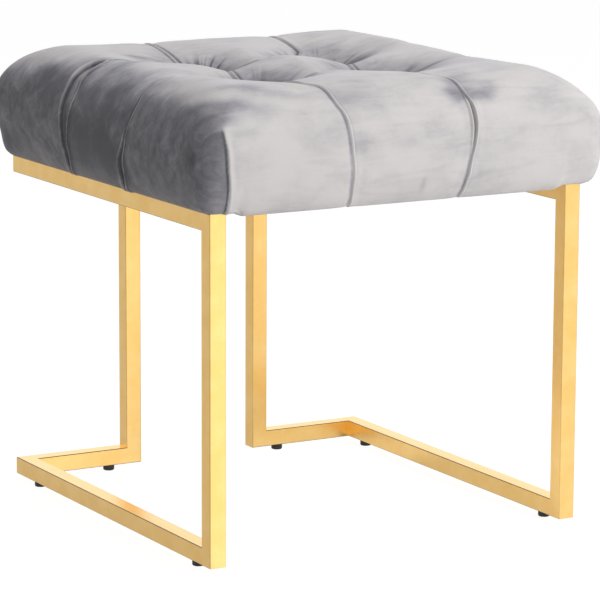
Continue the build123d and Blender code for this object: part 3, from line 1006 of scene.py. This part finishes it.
def makeStaples():
    # A wire of flat oval section along each path: down a leg, round a bend, along the crown and up again
    bend = np.linspace(0, np.pi / 2, 5)
    small, half = staple["bend"], staple["width"] / 2
    side = np.concatenate([[half], half - small + small * np.cos(bend)])
    drop = np.concatenate([[staple["leg"]], small - small * np.sin(bend)])
    run = np.concatenate([side, -side[::-1]])
    rise = np.concatenate([drop, drop[::-1]])
    slope = np.arctan2(np.gradient(rise), np.gradient(run))
    turn = fullTurn(staple["spokes"])
    wide, thin = staple["wire"]
    offset = thin * np.sin(turn)
    along = run[:, None] - offset * np.sin(slope)[:, None]
    upward = rise[:, None] + offset * np.cos(slope)[:, None]
    across = np.broadcast_to(wide * np.cos(turn), along.shape)
    faces = gridFaces(len(run), staple["spokes"], True)
    grids = []
    for turned, reach, cross in ((False, dustHigh.x, dustHigh.y), (True, dustHigh.y, dustHigh.x)):
        last = int((reach - staple["endGap"]) / staple["spacing"])
        for step in range(-last, last + 1):
            for sign in (-1, 1):
                middle, level = step * staple["spacing"], sign * (cross - staple["inset"])
                x, y = (level + across, middle + along) if turned else (middle + along, level + across)
                z = upward + dustHeight(*((level, middle) if turned else (middle, level))) - thin
                grids.append(np.stack([x, y, z], axis=-1))
    makePiece("staples", *manyOf(grids, faces), zinc, "zinc_steel", weld=1e-7)
    print("staples:", len(grids))


makeDustCover()
makeStaples()


# Foot studs
thread = {"pitch": 0.0010, "depth": 0.00055, "perTurn": 8, "spokes": 24, "chamfer": 0.0008}


def makeStud(node, body):
    # A screw: the radius falls and rises once per pitch, on a line that climbs with the turn; the tip tapers
    low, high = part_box(node)
    radius = (high.x - low.x) / 2
    rows = int((high.z - low.z) / thread["pitch"] * thread["perTurn"])
    z = np.linspace(low.z, high.z, rows)[:, None]
    turn = fullTurn(thread["spokes"])
    phase = (z / thread["pitch"] - turn / (2 * np.pi)) % 1
    reach = radius - thread["depth"] * np.abs(2 * phase - 1)
    reach = np.minimum(reach, radius - thread["chamfer"] + np.maximum(high.z - z, 0))
    reach = np.concatenate([0 * reach[:1], reach, 0 * reach[:1]])
    z = np.concatenate([z[:1], z, z[-1:]])
    middle = (low + high) / 2
    points = turnedShape(reach, z, turn) + (middle.x, middle.y, 0)
    faces = gridFaces(rows + 2, thread["spokes"], True)
    piece = makePiece(f"{body}_thread", points, faces, zinc, "zinc_steel", body, 1e-6)
    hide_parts(node)


for side in ("left", "right"):
    for place in ("front", "rear", "inner"):
        makeStud(f"{side}_{place}_foot_stud", f"{side}_{place}_foot")
print("small pieces made")


# Stage
studio = {
    "floorSize": 12.0,
    "floorShade": (0.86, 0.86, 0.86),
    "whiteShare": 0.80,  # how far the floor glows to the camera and to mirrors
    "whiteLevel": 1.17,  # for the camera
    "mirrorLevels": (0.70, 0.98, 1.58),  # for mirrors: shade, light at the right and at the left
    "aside": (0.87, 0.49),  # from the left of the light to its right
    "asideFade": (-0.30, 0.30),
    # The light ends at the left floor rail and the rear rails, and is shaded in a band left of the right
    # floor rail; each pair is where a change starts and is full
    "lightLeft": (-0.23, -0.20),
    "lightRear": (0.21, 0.24),
    "bandLeft": (0.04, 0.065),  # across the light
    "bandOpen": (0.13, 0.17),  # across the light; its rear end is lit from here on
    "bandRear": (0.085, 0.135),  # where that end starts
    "bandRight": (0.195, 0.215),
    "bandShade": 0.75,
    "roomLight": 0.30,  # on matt surfaces
    "skyLevels": (1.40, 0.25),  # of the room for mirrors, at the horizon and overhead
    "skyHeights": (0.25, 0.70),  # where it changes, 1 is straight up
}
lamps = {
    "key": {"place": (1.5, -2.3, 1.35), "size": 1.4, "power": 44, "aim": (0, 0, 0.35)},
    "top": {"place": (0.3, 0.2, 2.6), "size": 1.8, "power": 26, "aim": (0, 0, 0.45)},
    "fill": {"place": (0.0, -2.6, 0.75), "size": 0.8, "power": 9, "aim": (0, -0.2, 0.40)},
}


def seenBy(paint):
    # 1 for what the camera sees straight, and 1 for what is mirrored or let through
    rays = paint.tree.nodes.new("ShaderNodeLightPath").outputs
    kinds = ("Camera", "Glossy", "Transmission")
    camera, glossy, through = (Signal(paint, rays[f"Is {kind} Ray"]) for kind in kinds)
    return camera, glossy.atLeast(through)


def setFloor():
    # A matt square, white to the camera, and to mirrors a light that fades to the right, with its shades
    half = studio["floorSize"] / 2
    corners = [(-half, -half, 0), (half, -half, 0), (half, half, 0), (-half, half, 0)]
    paint = Paint("floorPaint")
    camera, mirror = seenBy(paint)
    dim, soft, bright = studio["mirrorLevels"]
    x, y = paint.axis("X"), paint.axis("Y")
    aside = studio["aside"][0] * x + studio["aside"][1] * y
    lit = x.between(*studio["lightLeft"]) * (1 - y.between(*studio["lightRear"]))
    closed = 1 - aside.between(*studio["bandOpen"]) * y.between(*studio["bandRear"])
    band = studio["bandShade"] * aside.between(*studio["bandLeft"]) * closed
    shade = band * (1 - x.between(*studio["bandRight"]))
    full = bright - (bright - soft) * aside.between(*studio["asideFade"])
    level = camera * studio["whiteLevel"] + mirror * (dim + (full - dim) * lit * (1 - shade))
    matt = paint.node("ShaderNodeBsdfDiffuse", None, {"Color": (*studio["floorShade"], 1)})
    white = paint.node("ShaderNodeEmission", None, {"Color": (1, 1, 1, 1), "Strength": level})
    seen = camera.atLeast(mirror) * studio["whiteShare"]
    both = paint.node("ShaderNodeMixShader", None, [seen, matt, white])
    paint.node("ShaderNodeOutputMaterial", None, {"Surface": both})
    floor = addMesh("floor", corners, [(0, 1, 2, 3)])
    floor.data.materials.append(paint.owner)


def setRoom():
    # White for the camera, faint on matt surfaces, and for mirrors bright low down and darker overhead
    scene.world = bpy.data.worlds.new("studioRoom")
    room = Paint("studioRoom", scene.world)
    camera, mirror = seenBy(room)
    faint = studio["roomLight"]
    horizon, overhead = studio["skyLevels"]
    sky = horizon - (horizon - overhead) * room.axis("Z").between(*studio["skyHeights"])
    strength = faint + camera * (1 - faint) + mirror * (sky - faint)
    glow = room.node("ShaderNodeBackground", None, {"Color": (1, 1, 1, 1), "Strength": strength})
    room.node("ShaderNodeOutputWorld", None, {"Surface": glow})


def setLamps():
    # Square lamps, each turned from its place towards its aim
    for name, lamp in lamps.items():
        light = bpy.data.lights.new(name, "AREA")
        light.size = lamp["size"]
        light.energy = lamp["power"]
        holder = bpy.data.objects.new(name, light)
        holder.location = lamp["place"]
        holder.visible_glossy = False  # metal shows the room, not the lamps
        aim = Vector(lamp["aim"]) - holder.location
        holder.rotation_euler = aim.to_track_quat("-Z", "Y").to_euler()
        scene.collection.objects.link(holder)


setFloor()
setRoom()
setLamps()
scene.view_settings.view_transform = "Standard"
print("stage set")
